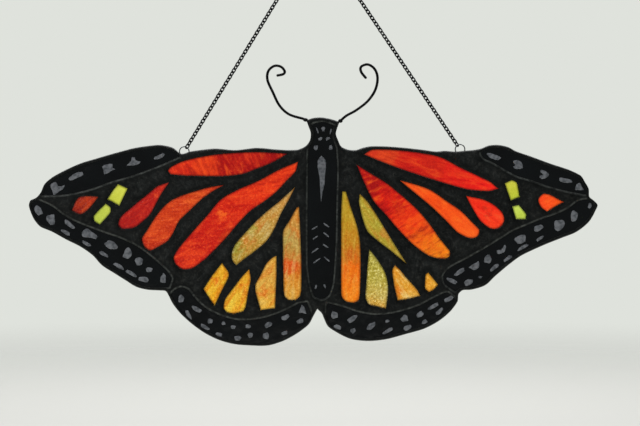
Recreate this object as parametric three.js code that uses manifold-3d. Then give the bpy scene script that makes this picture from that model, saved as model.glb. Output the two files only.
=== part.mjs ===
// A stained-glass monarch butterfly that hangs by two chains from one ring.
// Millimetres, +X right, +Y away from the viewer, +Z up. The origin is the centre of the hanging ring.
import * as THREE from 'three';
import { mergeVertices } from 'three/addons/utils/BufferGeometryUtils.js';
import Module from 'manifold-3d';

const wasm = await Module();
wasm.setup();

const glassThickness = 3;
const solderThickness = 5.4;
const seatGap = 0.3;          // clearance between a glass and the groove it sits in
const glassOverlap = 0.8;     // how far a glass reaches under the solder bead
const rimWidth = 2.2;         // solder showing outside the black border glass
const chordTolerance = 0.45;  // largest distance from a curve to its straight facets
const mergeTolerance = 1e-4;
const tipReach = 0.7;         // a glass runs this share of its overlap past a sharp tip

const bodyCentre = new THREE.Vector3(3, 0, -181.5);   // where the panel's own origin hangs
const wingRing = { radius: 3.2, wire: 0.75, left: [-92, 36], right: [93.5, 37.5] };
const hangingRing = { radius: 6.8, wire: 1.6 };
const ringFacets = { around: 20, section: 6 };
const chainWidth = 3.2;
const chainFacets = { section: 8, length: 9.6 };
const antennaWire = 1.8;
const antennaFacets = { along: 26, section: 6 };
const antennaGap = 0.35;      // between the foot of an antenna and the head

const finishes = {
  colouredGlass: { roughness: 0.15, metalness: 0 },
  blackGlass: { color: 0x101415, roughness: 0.15, metalness: 0 },
  solder: { color: 0x1c2020, roughness: 0.45, metalness: 0.6 },
  blackWire: { color: 0x0b0d0d, roughness: 0.4, metalness: 0.7 },
  ring: { color: 0x8d9092, roughness: 0.35, metalness: 1 },
  chain: { color: 0x2a2d2e, roughness: 0.4, metalness: 0.9 },
};

const corner = true;          // third entry of an outline point that isn't rounded

// The panel's outer edge, counterclockwise, as [x, z] from the middle of the body.
const edges = {
  leftTop: [
    [-94, 34.5, corner], [-99.5, 38.5], [-108.5, 40.5], [-114.5, 40], [-125, 38.5], [-138.5, 35],
    [-150.5, 31.5], [-162, 28], [-172, 23.5], [-181, 18.5], [-186, 14], [-188.5, 8.5],
  ],
  leftSide: [
    [-191.5, 5, corner], [-195.5, 3], [-196.5, 0], [-195, -5.5], [-192.5, -10.5], [-189, -14.5],
    [-181, -18], [-171, -23.5], [-162, -28], [-153.5, -34], [-147.5, -40.5], [-139, -46], [-131, -51],
    [-124.5, -55], [-117, -57], [-109, -57.5],
  ],
  leftNotch: [[-104.5, -58]],
  leftHind: [
    [-102.5, -61, corner], [-100, -66], [-95, -72.5], [-87.5, -79.5], [-78.5, -86], [-69.5, -90.5],
    [-59, -93.5], [-48, -94.5], [-35.5, -94.5], [-25.5, -91.5], [-15.5, -86], [-8, -80], [-5, -74.5],
  ],
  bottomNotch: [[-2.5, -70, corner], [0.5, -73]],
  rightHind: [
    [2, -76.5], [4.5, -81.5], [11, -86], [19.5, -90], [30.5, -91.5], [43, -90.5], [56.5, -87],
    [70, -83], [80, -77.5], [87.5, -71], [92, -64.5],
  ],
  rightNotch: [[92.5, -60, corner]],
  rightSide: [
    [95, -57.5], [101, -57], [110.5, -54], [117, -48], [126.5, -40], [134, -34.5], [147.5, -28],
    [161, -22.5], [172, -18], [180.5, -11], [184.5, -4], [186, 0], [183.5, 3],
  ],
  rightTip: [[180.5, 5.5, corner]],
  rightTop: [
    [180, 11], [177.5, 15.5], [175, 19.5], [167.5, 23.5], [154, 28], [140.5, 33], [130.5, 36.5],
    [126, 39], [118.5, 40.5], [112.5, 40], [107.5, 38],
  ],
  topRight: [
    [102, 37], [96, 36.5], [90, 36], [83.5, 36.5], [77.5, 36], [69.5, 37], [56.5, 38.5], [42.5, 39.5],
    [33, 39.5], [28, 38.5], [23.5, 37], [17.5, 37.5],
  ],
  head: [
    [13.5, 39.5], [11.5, 43.5], [10, 48], [11, 52], [12.5, 56, corner], [6, 58], [-0.5, 59],
    [-6, 58.5], [-10, 57, corner], [-8.5, 53], [-7, 48.5], [-7.5, 43.5], [-10, 40],
  ],
  topLeft: [
    [-15, 37.5], [-21, 37], [-31, 37.5], [-43, 38.5], [-58, 37], [-71.5, 38], [-81.5, 37], [-88, 36],
  ],
};

// Where the black border glass meets the solder on its inner side, run in the edge's own sense.
const seams = {
  leftTop: [
    [-187, 6.5], [-173.5, 7], [-160, 9.5], [-151.5, 12], [-140.5, 16], [-126.5, 20], [-111.5, 25.5],
    [-97.5, 31.5],
  ],
  leftSide: [
    [-102.5, -55], [-100.5, -49.5], [-104.5, -43.5], [-113.5, -35.5], [-124.5, -27.5], [-134, -23],
    [-145.5, -19], [-157.5, -14.5], [-167, -10.5], [-173.5, -6.5], [-181, -1], [-187.5, 2],
  ],
  leftHind: [
    [-9.5, -65.5], [-15, -66.5], [-23, -70.5], [-33, -74.5], [-43.5, -77], [-56, -77.5],
    [-67.5, -74.5], [-77.5, -69.5], [-84.5, -63], [-89.5, -57], [-94, -55.5], [-98.5, -57.5],
  ],
  rightHind: [
    [85, -59], [76, -62.5], [66.5, -67.5], [56.5, -71], [45, -73.5], [35.5, -74], [24, -72],
    [14, -68.5], [4, -66],
  ],
  rightSide: [
    [179.5, 3.5], [173, 2.5], [166, -2.5], [157.5, -6.5], [147.5, -10], [136.5, -14.5], [128.5, -18],
    [120.5, -23], [109, -30], [97.5, -36.5], [88, -41.5], [82.5, -47], [83.5, -53], [90, -58],
  ],
  rightTop: [
    [107.5, 34.5], [109.5, 31.5], [115, 29], [122.5, 24.5], [132, 19.5], [140.5, 17], [150.5, 13.5],
    [161, 10.5], [170, 8.5], [178, 7],
  ],
};

const borderGlasses = [
  ['left_forewing_top_border_glass', 'leftTop'],
  ['left_forewing_side_border_glass', 'leftSide'],
  ['left_hindwing_border_glass', 'leftHind'],
  ['right_hindwing_border_glass', 'rightHind'],
  ['right_forewing_side_border_glass', 'rightSide'],
  ['right_forewing_top_border_glass', 'rightTop'],
];

const bodyGlass = [
  [-6, 54, corner], [1.5, 55.5], [9, 53, corner], [7.5, 50.5], [7.5, 45], [9.5, 38.5], [10.5, 23.5],
  [10, 3.5], [9.5, -23.5], [8.5, -42.5], [7, -55], [4, -61.5], [0, -63], [-4, -61.5], [-6.5, -55],
  [-8.5, -42.5], [-8.5, -23.5], [-8.5, 3.5], [-8.5, 23.5], [-8, 38.5], [-5, 43.5], [-4.5, 50.5],
];

// The coloured glass: name, colour and the outline that shows between the solder beads.
const colouredGlasses = [
  ['left_forewing_top_red_glass', 0xc0181a, [
    [-22.5, 34.5, corner], [-33, 28.5], [-43, 24.5], [-52.5, 21], [-64, 19.5], [-79.5, 19.5],
    [-93.5, 20], [-101.5, 21], [-103, 23], [-101.5, 25], [-95, 28.5], [-84.5, 31.5], [-69.5, 34],
    [-43.5, 35.5],
  ]],
  ['left_forewing_crimson_glass', 0xb9211f, [
    [-102, 15.3, corner], [-107.8, 6.7], [-114, -5], [-116, -7.5], [-124, -14.3], [-126, -15.2],
    [-134.2, -15.7], [-136.3, -12.8], [-134, -7.3], [-126.5, -0.8], [-117.5, 6.5], [-109.5, 12.8],
  ]],
  ['left_forewing_orange_red_glass', 0xd8401f, [
    [-65, 13.5, corner], [-74.5, 12], [-87, 8.5], [-101.5, 2.5], [-111, -7.5], [-117, -17],
    [-120.5, -23], [-119, -27.5], [-114.5, -30.5], [-108.5, -27.5], [-103, -24], [-99.5, -19],
    [-95.5, -11], [-88, -3.5], [-79.5, 4.5], [-71.5, 10],
  ]],
  ['left_forewing_long_red_glass', 0xdc321c, [
    [-15.5, 29, corner], [-17, 23], [-23.5, 16], [-29.5, 9.5], [-37.5, 3], [-47, -3.5], [-54.5, -11],
    [-63, -21], [-72, -30.5], [-79.5, -37.5], [-87, -42.5], [-93, -43], [-97.5, -40], [-99, -35],
    [-94, -27], [-85.5, -17], [-76.5, -7], [-67.5, 3.5], [-56.5, 10], [-42.5, 16], [-27.5, 24],
  ]],
  ['left_forewing_tip_red_glass', 0xbf2a1c, [
    [-149.5, 5.5, corner], [-153, 1], [-156.5, -3], [-161, -6], [-164.5, -5.5], [-167.5, -3.5],
    [-166, 0.5], [-163, 5], [-158, 6],
  ]],
  ['left_forewing_upper_lime_glass', 0xccd44e, [
    [-136.5, 14, corner], [-140.5, 9], [-143.5, 4, corner], [-135.5, -0.5, corner], [-130, 11, corner],
  ]],
  ['left_forewing_lower_lime_glass', 0xc4d45a, [
    [-144.7, 0.9, corner], [-149.8, -3.9], [-152.9, -7.9], [-152.5, -10.6], [-148.6, -13.1, corner],
    [-141.4, -4.7], [-141.6, -1.7],
  ]],
  ['left_hindwing_gold_leaf_glass', 0xc9a35c, [
    [-17.5, 12, corner], [-22, 3], [-27, -6], [-31.5, -16], [-36.5, -24], [-44.5, -31], [-52, -36.5],
    [-57, -40.5, corner], [-59.5, -37.5], [-60, -32.5], [-58, -27], [-49, -16.5], [-39.5, -7], [-28, 2.5],
  ]],
  ['left_hindwing_inner_gold_glass', 0xdb9440, [
    [-14.8, -1.5, corner], [-14.1, -15], [-13.3, -38], [-13.5, -58], [-14.6, -61.8], [-17.2, -63.7],
    [-21.8, -63.7], [-24.2, -61.7], [-25, -58], [-25.6, -31], [-25.2, -16.8], [-21.5, -11],
    [-16.2, -1.8, corner],
  ]],
  ['left_hindwing_outer_amber_glass', 0xe4a238, [
    [-66.5, -39, corner], [-73.5, -48], [-79, -56.5, corner], [-75.5, -62], [-71.5, -67.5, corner],
    [-66.5, -57], [-62, -46.5, corner],
  ]],
  ['left_hindwing_middle_amber_glass', 0xe2a13a, [
    [-48.3, -43, corner], [-53.1, -48.2], [-59, -56], [-64.6, -63.8], [-65.3, -69.5], [-63.6, -71.7],
    [-59.3, -72.9], [-52.2, -71.1], [-50.9, -69], [-49, -58.6], [-47.3, -50],
  ]],
  ['left_hindwing_inner_amber_glass', 0xdaa244, [
    [-30, -34.2, corner], [-32, -35], [-36.3, -38.9], [-40.6, -47], [-44.1, -53.8], [-44.1, -57.6],
    [-40.6, -70.7, corner], [-31, -69.3, corner], [-30, -47],
  ]],
  ['right_forewing_top_red_glass', 0xd92a1c, [
    [29, 34, corner], [38.5, 30], [53, 24.5], [69.5, 19], [85.5, 14], [99, 10.5], [113.5, 9.5],
    [119, 11, corner], [114.5, 15], [105.5, 19.5], [92, 26], [80.5, 32], [69.5, 34.5], [54.5, 36.5],
    [41.5, 37.3], [33.5, 36.8],
  ]],
  ['right_forewing_long_red_glass', 0xe23318, [
    [24, 27, corner], [29.5, 14], [35.5, 2.5], [43.5, -6.5], [52.5, -17], [62.5, -27], [72.5, -34],
    [80, -36], [86, -35], [86.5, -31], [80.5, -23.5], [73.5, -13.5], [64.5, -3], [54, 6.5],
    [43.5, 15], [34.5, 20.5],
  ]],
  ['right_forewing_orange_glass', 0xf85a1c, [
    [53, 16.5, corner], [62, 9], [73.5, -0.5], [83.5, -10], [92, -18.5], [99, -22], [104.5, -21.5],
    [106.5, -17], [101, -11], [94, -4], [84.5, 2.5], [73.5, 10], [62.5, 14],
  ]],
  ['right_forewing_small_red_glass', 0xee3322, [
    [97.5, 6, corner], [99.5, 2], [102.5, -3.5], [107.5, -11], [113.5, -15.5], [119, -15.5],
    [123, -11], [122, -5.5], [117, -0.5], [109.5, 3.5],
  ]],
  ['right_forewing_upper_lime_glass', 0xc8cc44, [
    [123.5, 14.5, corner], [125.5, 8.5], [127.5, 3, corner], [133.5, 5.5, corner], [132.5, 11.5],
    [131.5, 15], [128.5, 16.5],
  ]],
  ['right_forewing_lower_lime_glass', 0xc4d858, [
    [128.5, -1, corner], [131, -9.5, corner], [137.5, -9.5, corner], [138, -6.5, corner], [133, 0, corner],
  ]],
  ['right_forewing_tip_orange_glass', 0xfa5526, [
    [146, 3.5], [148.5, -2], [152, -4.5], [156.5, -1.5], [163, 2, corner], [153.5, 7], [149.5, 7.5],
  ]],
  ['right_hindwing_inner_gold_glass', 0xd99a26, [
    [14.3, 9, corner], [13.6, -3.4], [13.5, -16.8], [13.6, -57], [14, -61.5], [16.8, -64.7],
    [22.3, -65.5], [25.1, -64], [26, -60.3], [26.6, -37], [26, -23.5], [24, -13.5], [20.6, -3.4],
    [16.7, 9, corner],
  ]],
  ['right_hindwing_narrow_olive_glass', 0xb9a833, [
    [26, 7.5, corner], [25.5, 2.5], [28, -9.5], [31.5, -18], [37.5, -23.5], [46.5, -30.5],
    [57.5, -39.5, corner], [51, -29], [44.5, -18.5], [37.5, -7], [31, 2.5],
  ]],
  ['right_hindwing_olive_glass', 0xc0b456, [
    [32.5, -30, corner], [31.5, -38.5], [30.5, -52.5], [30, -62.5], [32, -66.5], [37, -68],
    [43.5, -69.5, corner], [44.5, -64], [45, -54], [43, -45.5], [38, -37],
  ]],
  ['right_hindwing_orange_glass', 0xe39a30, [
    [49.5, -40.5], [48, -43.5], [49, -53], [51.5, -64, corner], [59, -63], [66.5, -61, corner],
    [65, -57.5], [56.5, -48],
  ]],
  ['right_hindwing_small_amber_glass', 0xe0a848, [
    [72, -45.5], [70.5, -46.5], [70, -51], [70, -56], [72.5, -58.5], [76, -56.5],
    [78.5, -53.5, corner], [75.5, -49.5],
  ]],
];

// Each antenna's wire, from its foot at the head to the end of its curl.
const antennae = {
  left_antenna: [
    [-12, 58], [-21.5, 61], [-28, 67], [-32.5, 76], [-36, 84], [-35.5, 90], [-31.5, 93.5], [-27, 93],
    [-24.5, 90], [-25.5, 88], [-30, 87],
  ],
  right_antenna: [
    [17, 60], [24, 64], [31.5, 70], [36.5, 77.5], [38, 85.5], [36, 91.5], [31.5, 94.5], [27, 93],
    [27, 89.5], [30.5, 85],
  ],
};
const antennaFeet = { left_antenna: [-10, 57], right_antenna: [12.5, 56] };

// Points along a smooth run, close enough together for the chord tolerance. The last point is left out.
function sampleRun(run, closed) {
  const knots = run.map(([x, z]) => new THREE.Vector3(x, z, 0));
  const curve = new THREE.CatmullRomCurve3(knots, closed, 'centripetal');
  const spans = closed ? knots.length : knots.length - 1;
  const sampled = [];
  for (let span = 0; span < spans; span++) {
    const start = curve.getPoint(span / spans);
    const middle = curve.getPoint((span + 0.5) / spans);
    const end = curve.getPoint((span + 1) / spans);
    const chord = new THREE.Line3(start, end);
    const sag = middle.distanceTo(chord.closestPointToPoint(middle, true, new THREE.Vector3()));
    const steps = Math.max(1, Math.ceil(Math.sqrt(sag / chordTolerance)));
    for (let step = 0; step < steps; step++) {
      const point = curve.getPoint((span + step / steps) / spans);
      sampled.push(new THREE.Vector2(point.x, point.y));
    }
  }
  return sampled;
}

// An open line through the points, rounded everywhere but at its corners.
function openLine(points) {
  const sampled = [];
  let run = [points[0]];
  for (const point of points.slice(1)) {
    run.push(point);
    if (point[2] || point === points.at(-1)) {
      sampled.push(...sampleRun(run, false));
      run = [point];
    }
  }
  const [x, z] = points.at(-1);
  return [...sampled, new THREE.Vector2(x, z)];
}

// A counterclockwise loop through the points, rounded everywhere but at its corners.
function closedLine(points) {
  const first = points.findIndex((point) => point[2]);
  const turned = [...points.slice(first), ...points.slice(0, first + 1)];
  const loop = first < 0 ? sampleRun(points, true) : openLine(turned).slice(0, -1);
  return THREE.ShapeUtils.isClockWise(loop) ? loop.reverse() : loop;
}

function leftOf(from, to) {
  const along = to.clone().sub(from).normalize();
  return new THREE.Vector2(-along.y, along.x);
}

// An open line moved sideways to its left.
function movedLeft(line, distance) {
  return line.map((point, i) => {
    const before = leftOf(line[Math.max(i - 1, 0)], line[Math.max(i, 1)]);
    const after = leftOf(line[Math.min(i, line.length - 2)], line[Math.min(i + 1, line.length - 1)]);
    const mitre = before.add(after).normalize();
    return point.clone().addScaledVector(mitre, distance);
  });
}

// A counterclockwise loop grown outward, with a square end on each sharp tip.
function grown(loop, distance) {
  const outline = [];
  loop.forEach((point, i) => {
    const before = loop[(i + loop.length - 1) % loop.length];
    const after = loop[(i + 1) % loop.length];
    const outBefore = leftOf(before, point).negate();
    const outAfter = leftOf(point, after).negate();
    const agreement = outBefore.dot(outAfter);
    const isTip = agreement < 0 && outBefore.cross(outAfter) > 0;
    if (isTip) {
      const reach = distance * tipReach;
      const onward = point.clone().sub(before).setLength(reach);
      const backward = point.clone().sub(after).setLength(reach);
      outline.push(point.clone().addScaledVector(outBefore, distance).add(onward));
      outline.push(point.clone().addScaledVector(outAfter, distance).add(backward));
      return;
    }
    const mitre = outBefore.add(outAfter).multiplyScalar(distance / (1 + agreement));
    outline.push(point.clone().add(mitre));
  });
  return outline;
}

// A flat plate of the loop's outline, standing in the XZ plane with its middle at y = 0.
function plate(loop, thickness) {
  const geometry = new THREE.ExtrudeGeometry(new THREE.Shape(loop), {
    depth: thickness, bevelEnabled: false, steps: 1,
  });
  geometry.rotateX(Math.PI / 2);
  return geometry.translate(0, thickness / 2, 0);
}

function roundRing(radius, wire) {
  const geometry = new THREE.TorusGeometry(radius, wire / 2, ringFacets.section, ringFacets.around);
  return geometry.rotateX(Math.PI / 2);
}

function roundSection(diameter, sides) {
  const points = [];
  for (let i = 0; i < sides; i++) {
    const angle = (i + 0.5) * 2 * Math.PI / sides;
    points.push(new THREE.Vector2(Math.cos(angle), Math.sin(angle)).multiplyScalar(diameter / 2));
  }
  return new THREE.Shape(points);
}

function solidOf(geometry) {
  const bare = geometry.clone();
  bare.deleteAttribute('normal');
  bare.deleteAttribute('uv');
  const merged = mergeVertices(bare, mergeTolerance);
  return new wasm.Manifold(new wasm.Mesh({
    numProp: 3,
    vertProperties: new Float32Array(merged.attributes.position.array),
    triVerts: new Uint32Array(merged.index.array),
  }));
}

function geometryOf(solid) {
  const { vertProperties, triVerts } = solid.getMesh();
  const geometry = new THREE.BufferGeometry();
  geometry.setAttribute('position', new THREE.BufferAttribute(vertProperties, 3));
  geometry.setIndex(new THREE.BufferAttribute(triVerts, 1));
  return geometry;
}

function part(name, geometry, finish) {
  const mesh = new THREE.Mesh(geometry, new THREE.MeshStandardMaterial(finish));
  mesh.name = name;
  return mesh;
}

const suncatcher = new THREE.Group();
const panel = new THREE.Group();
panel.position.copy(bodyCentre);
suncatcher.add(panel);

// Glass. Every piece is cut a little larger than what shows of it.
const openings = [];
function addGlass(name, loop, finish) {
  openings.push(loop);
  panel.add(part(name, plate(grown(loop, glassOverlap), glassThickness), finish));
}
for (const [name, color, outline] of colouredGlasses) {
  addGlass(name, closedLine(outline), { ...finishes.colouredGlass, color });
}
for (const [name, place] of borderGlasses) {
  const outside = movedLeft(openLine(edges[place]), rimWidth);
  addGlass(name, [...outside, ...openLine(seams[place])], finishes.blackGlass);
}
addGlass('body_glass', closedLine(bodyGlass), finishes.blackGlass);

// Solder. One web, with an opening and a groove for each glass and a tunnel for each wing ring.
function addSolder() {
  const edge = closedLine(Object.values(edges).flat());
  let web = solidOf(plate(edge, solderThickness));
  for (const loop of openings) {
    web = web.subtract(solidOf(plate(loop, solderThickness * 2)));
    web = web.subtract(solidOf(plate(grown(loop, glassOverlap + seatGap), glassThickness + 2 * seatGap)));
  }
  for (const [x, z] of [wingRing.left, wingRing.right]) {
    const tunnel = roundRing(wingRing.radius, wingRing.wire + 2 * seatGap).translate(x, 0, z);
    web = web.subtract(solidOf(tunnel));
  }
  panel.add(part('solder_web', geometryOf(web), finishes.solder));
}
addSolder();

// Antennae.
for (const [name, points] of Object.entries(antennae)) {
  const foot = new THREE.Vector2(...antennaFeet[name]);
  const next = new THREE.Vector2(...points[0]);
  const start = foot.clone().add(next.sub(foot).setLength(antennaGap + antennaWire / 2));
  const line = [[start.x, start.y], ...points].map(([x, z]) => new THREE.Vector3(x, 0, z));
  const wire = new THREE.ExtrudeGeometry(roundSection(antennaWire, antennaFacets.section), {
    steps: antennaFacets.along,
    bevelEnabled: false,
    extrudePath: new THREE.CatmullRomCurve3(line, false, 'centripetal'),
  });
  panel.add(part(name, wire, finishes.blackWire));
}

// Rings and chains. Each chain is taut, so both point at the middle of the hanging ring.
const hanging = roundRing(hangingRing.radius, hangingRing.wire);
suncatcher.add(part('hanging_ring', hanging, finishes.ring));
for (const side of ['left', 'right']) {
  const [x, z] = wingRing[side];
  const ring = part(`${side}_wing_ring`, roundRing(wingRing.radius, wingRing.wire), finishes.ring);
  ring.position.set(x, 0, z);
  panel.add(ring);

  const low = new THREE.Vector3(x, 0, z).add(bodyCentre);
  const up = low.clone().negate().normalize();
  const start = low.clone().addScaledVector(up, wingRing.radius + wingRing.wire / 2 + seatGap);
  const end = up.clone().multiplyScalar(-hangingRing.radius - hangingRing.wire / 2 - seatGap);
  const tube = new THREE.ExtrudeGeometry(roundSection(chainWidth, chainFacets.section), {
    steps: Math.ceil(start.distanceTo(end) / chainFacets.length),
    bevelEnabled: false,
    extrudePath: new THREE.LineCurve3(start, end),
  });
  suncatcher.add(part(`${side}_chain`, tube, finishes.chain));
}

export default suncatcher;
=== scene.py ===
import bpy
import numpy as np
from mathutils.geometry import delaunay_2d_cdt
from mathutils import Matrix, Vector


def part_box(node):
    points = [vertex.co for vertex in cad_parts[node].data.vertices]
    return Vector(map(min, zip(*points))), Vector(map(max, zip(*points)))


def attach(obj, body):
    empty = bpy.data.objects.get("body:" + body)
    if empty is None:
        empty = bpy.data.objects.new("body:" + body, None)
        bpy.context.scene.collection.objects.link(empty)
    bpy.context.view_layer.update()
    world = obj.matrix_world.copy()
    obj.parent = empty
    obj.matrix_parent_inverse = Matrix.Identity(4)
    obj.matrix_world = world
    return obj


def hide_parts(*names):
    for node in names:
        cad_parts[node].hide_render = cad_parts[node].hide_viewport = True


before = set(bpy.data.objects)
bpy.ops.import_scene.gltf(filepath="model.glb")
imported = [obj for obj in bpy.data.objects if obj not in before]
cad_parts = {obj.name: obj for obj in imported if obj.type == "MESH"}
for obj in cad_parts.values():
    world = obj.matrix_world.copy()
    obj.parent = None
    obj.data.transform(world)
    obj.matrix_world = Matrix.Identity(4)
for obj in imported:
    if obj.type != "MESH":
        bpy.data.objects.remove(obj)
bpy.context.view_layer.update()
mm = 0.001
rng = np.random.default_rng(11)
bodyCentre = np.array([3.0, -181.5])   # the middle of the body, where the marks are measured from
print("frame loaded:", len(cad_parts), "nodes")


# ---- colour and shader nodes ----

def linearColour(hexColour):
    # sRGB hex to linear red, green, blue and full alpha
    share = np.array([int(hexColour[i:i + 2], 16) for i in (1, 3, 5)]) / 255
    linear = np.where(share <= 0.04045, share / 12.92, ((share + 0.055) / 1.055) ** 2.4)
    return (*linear.tolist(), 1.0)


def feed(tree, node, inputs):
    # a node gives its first live output, a hex colour is turned to linear, and the rest are plain values
    for key, value in inputs.items():
        if isinstance(value, bpy.types.Node):
            value = next(output for output in value.outputs if output.enabled)
        if isinstance(value, bpy.types.NodeSocket):
            tree.links.new(value, node.inputs[key])
        else:
            node.inputs[key].default_value = linearColour(value) if isinstance(value, str) else value


def addNode(tree, kind, inputs=None, stops=(), **settings):
    made = tree.nodes.new("ShaderNode" + kind)
    for key, value in settings.items():
        setattr(made, key, value)
    feed(tree, made, inputs or {})
    if stops:
        elements = made.color_ramp.elements
        while len(elements) < len(stops):
            elements.new(0.5)
        for element, (position, colour) in zip(elements, stops):
            element.position = position
            element.color = linearColour(colour)
    return made


def newMaterial(name):
    material = bpy.data.materials.new(name)
    material.use_nodes = True
    tree = material.node_tree
    shader = tree.nodes["Principled BSDF"]
    place = addNode(tree, "TexCoord").outputs["Object"]
    return material, tree, shader, place


def mottledFinish(name, look):
    # two tones with a noise between them. A look's grain is the noise's size in mm, its relief is the bump's
    # strength and depth, and its surface is what the shader takes as it stands.
    material, tree, shader, place = newMaterial(name)
    noise = addNode(tree, "TexNoise", {
        "Vector": place, "Scale": 1 / (look["grain"] * mm), **look["noise"]})
    tone = addNode(tree, "ValToRGB", {"Fac": noise}, stops=look["tones"])
    feed(tree, shader, {"Base Color": tone, **look["surface"]})
    if "relief" in look:
        strength, depth = look["relief"]
        feed(tree, shader, {"Normal": addNode(tree, "Bump", {
            "Height": noise, "Strength": strength, "Distance": depth * mm})})
    return material


# ---- meshes ----

def makePiece(name, points, faces, material, slot, replaced=(), marks=None):
    # points are millimetres in the object's frame, faces are index arrays of one or more sizes, and marks
    # are named numbers at the points that the material reads
    mesh = bpy.data.meshes.new(name)
    listed = [face for block in faces for face in block.tolist()]
    mesh.from_pydata((np.asarray(points) * mm).tolist(), [], listed)
    mesh.shade_smooth()
    for markName, values in (marks or {}).items():
        mark = mesh.attributes.new(markName, "FLOAT", "POINT")
        mark.data.foreach_set("value", np.asarray(values, np.float32))
    mesh.materials.append(material)
    piece = bpy.data.objects.new(name, mesh)
    bpy.context.scene.collection.objects.link(piece)
    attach(piece, "root")
    if replaced:
        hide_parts(*replaced)
    return piece


def frontLoops(nodeName):
    # the outlines of a node's flat front face, as they run round it in its own plane, in millimetres
    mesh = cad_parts[nodeName].data
    mesh.calc_loop_triangles()
    corners = np.empty(len(mesh.vertices) * 3, np.float32)
    mesh.vertices.foreach_get("co", corners)
    triangles = np.empty(len(mesh.loop_triangles) * 3, np.int32)
    mesh.loop_triangles.foreach_get("vertices", triangles)
    microns = np.round(corners.reshape(-1, 3) * 1e6).astype(np.int64)
    merged, place = np.unique(microns, axis=0, return_inverse=True)
    triangles = place.ravel()[triangles].reshape(-1, 3)
    onFront = merged[:, 1] <= merged[:, 1].min() + 2
    flat = triangles[onFront[triangles].all(1)]
    starts, ends = boundaryEdges(flat, len(merged))
    following = dict(zip(starts.tolist(), ends.tolist()))
    loops = []
    while following:
        first, step = following.popitem()
        walk = [first]
        while step != first:
            walk.append(step)
            step = following.pop(step)
        loops.append(merged[walk][:, [0, 2]] / 1000)
    return sorted(loops, key=len, reverse=True)


def boundaryEdges(triangles, count):
    # the directed edges that only one triangle has
    starts = triangles.ravel()
    ends = triangles[:, [1, 2, 0]].ravel()
    alone = ~np.isin(starts * count + ends, ends * count + starts)
    return starts[alone], ends[alone]


def smoothLoop(knots, spacing, cornerTurn=62):
    # a cubic through the knots, its slope at each the mean of the two chords', but broken at corners
    chord = np.roll(knots, -1, 0) - knots
    length = np.linalg.norm(chord, axis=1, keepdims=True)
    slope = chord / length
    slopeBefore, lengthBefore = np.roll(slope, 1, 0), np.roll(length, 1, 0)
    corner = (slope * slopeBefore).sum(1, keepdims=True) < np.cos(np.radians(cornerTurn))
    tangent = (length * slopeBefore + lengthBefore * slope) / (length + lengthBefore)
    leaving = np.where(corner, slope, tangent)
    arriving = np.roll(np.where(corner, slopeBefore, tangent), -1, 0)
    steps = np.ceil(length[:, 0] / spacing).astype(int)
    span = np.repeat(np.arange(len(knots)), steps)
    u = (np.arange(len(span)) - np.repeat(np.cumsum(steps) - steps, steps)) / steps[span]
    u = u[:, None]
    # a long side keeps straight next to a short one, so that a cut corner stays crisp
    out = np.minimum(length, lengthBefore)[span]
    into = np.minimum(length, np.roll(length, -1, 0))[span]
    onward = np.roll(knots, -1, 0)[span]
    return (
        (2 * u**3 - 3 * u**2 + 1) * knots[span] + (u**3 - 2 * u**2 + u) * out * leaving[span]
        + (3 * u**2 - 2 * u**3) * onward + (u**3 - u**2) * into * arriving[span]
    )


def leftNormals(loop):
    # unit sideways direction at each point, to the left of the way the loop runs
    chord = np.roll(loop, -1, 0) - loop
    left = np.stack([-chord[:, 1], chord[:, 0]], 1)
    left /= np.linalg.norm(left, axis=1, keepdims=True)
    mean = left + np.roll(left, 1, 0)
    return mean / np.maximum(np.linalg.norm(mean, axis=1, keepdims=True), 0.3)


def distanceTo(loop, points, reach):
    # the shortest way from each point to the loop's segments, no further than reach
    away = np.full(len(points), float(reach))
    near = np.flatnonzero(((points > loop.min(0) - reach) & (points < loop.max(0) + reach)).all(1))
    chord = np.roll(loop, -1, 0) - loop
    square = (chord**2).sum(1)
    for block in np.array_split(near, len(near) // 500 + 1):
        offset = points[block][:, None] - loop
        share = np.clip((offset * chord).sum(2) / square, 0, 1)
        gap = offset - share[..., None] * chord
        away[block] = np.minimum(np.sqrt((gap**2).sum(2)).min(1), reach) if len(block) else 0
    return away


def isInside(loop, points):
    # even and odd crossings of a ray that runs in +x
    inside = np.zeros(len(points), bool)
    near = np.flatnonzero(((points > loop.min(0)) & (points < loop.max(0))).all(1))
    start, end = loop, np.roll(loop, -1, 0)
    for block in np.array_split(near, len(near) // 500 + 1):
        px, pz = points[block][:, 0:1], points[block][:, 1:2]
        straddles = (start[:, 1] > pz) != (end[:, 1] > pz)
        rise = np.where(end[:, 1] == start[:, 1], 1e-9, end[:, 1] - start[:, 1])
        crossing = start[:, 0] + (pz - start[:, 1]) / rise * (end[:, 0] - start[:, 0])
        inside[block] = (straddles & (px < crossing)).sum(1) % 2 == 1
    return inside


def ripple(points, wavelength, seed, waves=14):
    # plane waves of about one length in all directions, added up and scaled to about -1 to 1
    draw = np.random.default_rng(seed)
    heading = draw.uniform(0, np.pi, waves)
    number = 2 * np.pi / (wavelength * draw.uniform(0.7, 1.5, waves))
    phase = draw.uniform(0, 2 * np.pi, waves)
    along = points @ np.stack([np.cos(heading), np.sin(heading)])
    return np.sin(along * number + phase).sum(1) / np.sqrt(waves)


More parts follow.
